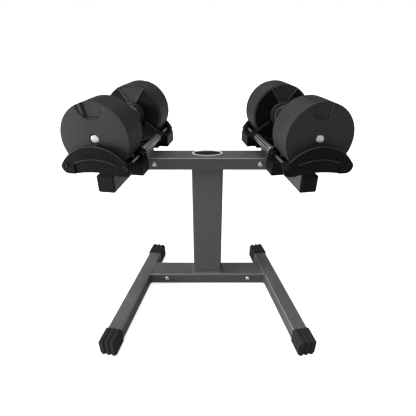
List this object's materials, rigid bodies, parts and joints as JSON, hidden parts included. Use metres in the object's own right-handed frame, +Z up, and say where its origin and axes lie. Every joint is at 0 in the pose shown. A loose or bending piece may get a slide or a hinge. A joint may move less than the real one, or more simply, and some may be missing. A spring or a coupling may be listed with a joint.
{
  "type": "adjustable dumbbell set with stand",
  "caption": "Selectable-weight dumbbells resting in cradles on a steel floor stand with splayed arms and rubber-tipped feet.",
  "frame": {"origin": "centre of the bounding box on the floor, between the soles of the foot caps", "axes": "+X across the stand from the left dumbbell to the right one, +Y from the front of the feet to the back, +Z up"},
  "size_m": [0.7946, 0.5788, 0.743],
  "materials": {
    "frame_paint": "hammertone",
    "plate_iron": "matte textured",
    "cradle_plastic": "satin",
    "cap_plastic": "matte",
    "foot_rubber": "matte",
    "grip_rubber": "ribbed matte",
    "bright_steel": "satin",
    "bolt_zinc": "zinc plated",
    "badge_gloss": "gloss"
  },
  "bodies": {
    "stand": {"left_foot_rail": "frame_paint", "left_front_foot_cap": "foot_rubber", "left_rear_foot_cap": "foot_rubber", "left_arm": "frame_paint", "left_front_arm_cap": "cap_plastic", "left_rear_arm_cap": "cap_plastic", "left_front_end_support": "cradle_plastic", "left_front_saddle": "cradle_plastic", "left_rear_end_support": "cradle_plastic", "left_rear_saddle": "cradle_plastic", "left_inner_side_rod": "bright_steel", "left_outer_side_rod": "bright_steel", "right_foot_rail": "frame_paint", "right_front_foot_cap": "foot_rubber", "right_rear_foot_cap": "foot_rubber", "right_arm": "frame_paint", "right_front_arm_cap": "cap_plastic", "right_rear_arm_cap": "cap_plastic", "right_front_end_support": "cradle_plastic", "right_front_saddle": "cradle_plastic", "right_rear_end_support": "cradle_plastic", "right_rear_saddle": "cradle_plastic", "right_inner_side_rod": "bright_steel", "right_outer_side_rod": "bright_steel", "base_crosspiece": "frame_paint", "top_crossbar": "frame_paint", "post": "frame_paint", "base_bolts": "bolt_zinc", "crossbar_bolts": "bolt_zinc", "badge_plate": "badge_gloss"},
    "left_dumbbell": {"left_front_handle_end": "plate_iron", "left_front_plate_1": "plate_iron", "left_front_plate_2": "plate_iron", "left_front_plate_3": "plate_iron", "left_front_plate_4": "plate_iron", "left_rear_handle_end": "plate_iron", "left_rear_plate_1": "plate_iron", "left_rear_plate_2": "plate_iron", "left_rear_plate_3": "plate_iron", "left_rear_plate_4": "plate_iron", "left_core_tube": "bright_steel"},
    "left_grip": {"left_grip": "grip_rubber"},
    "left_front_selector": {"left_front_selector": "bright_steel"},
    "left_rear_selector": {"left_rear_selector": "bright_steel"},
    "right_dumbbell": {"right_front_handle_end": "plate_iron", "right_front_plate_1": "plate_iron", "right_front_plate_2": "plate_iron", "right_front_plate_3": "plate_iron", "right_front_plate_4": "plate_iron", "right_rear_handle_end": "plate_iron", "right_rear_plate_1": "plate_iron", "right_rear_plate_2": "plate_iron", "right_rear_plate_3": "plate_iron", "right_rear_plate_4": "plate_iron", "right_core_tube": "bright_steel"},
    "right_grip": {"right_grip": "grip_rubber"},
    "right_front_selector": {"right_front_selector": "bright_steel"},
    "right_rear_selector": {"right_rear_selector": "bright_steel"}
  },
  "joints": [
    {"name": "left_lift", "type": "slide", "parent": "stand", "child": "left_dumbbell", "axis": [0, 0, 1], "range_m": [0, 0.22]},
    {"name": "left_twist", "type": "hinge", "parent": "left_dumbbell", "child": "left_grip", "pos_m": [-0.26382, 0.06317, 0.648], "axis": [0.1609, 0.987, 0], "range_deg": [0, 270]},
    {"name": "left_front_select", "type": "slide", "parent": "left_dumbbell", "child": "left_front_selector", "axis": [0.1609, 0.987, 0], "range_m": [0, 0.08]},
    {"name": "left_rear_select", "type": "slide", "parent": "left_dumbbell", "child": "left_rear_selector", "axis": [-0.1609, -0.987, 0], "range_m": [0, 0.08]},
    {"name": "right_lift", "type": "slide", "parent": "stand", "child": "right_dumbbell", "axis": [0, 0, 1], "range_m": [0, 0.22]},
    {"name": "right_twist", "type": "hinge", "parent": "right_dumbbell", "child": "right_grip", "pos_m": [0.26382, 0.06317, 0.648], "axis": [-0.1609, 0.987, 0], "range_deg": [0, 270]},
    {"name": "right_front_select", "type": "slide", "parent": "right_dumbbell", "child": "right_front_selector", "axis": [-0.1609, 0.987, 0], "range_m": [0, 0.08]},
    {"name": "right_rear_select", "type": "slide", "parent": "right_dumbbell", "child": "right_rear_selector", "axis": [0.1609, -0.987, 0], "range_m": [0, 0.08]}
  ],
  "couplings": [
    {"joint": "left_front_select", "follows": "left_twist", "m_per_rad": 0.016976},
    {"joint": "left_rear_select", "follows": "left_twist", "m_per_rad": 0.016976},
    {"joint": "right_front_select", "follows": "right_twist", "m_per_rad": 0.016976},
    {"joint": "right_rear_select", "follows": "right_twist", "m_per_rad": 0.016976}
  ]
}
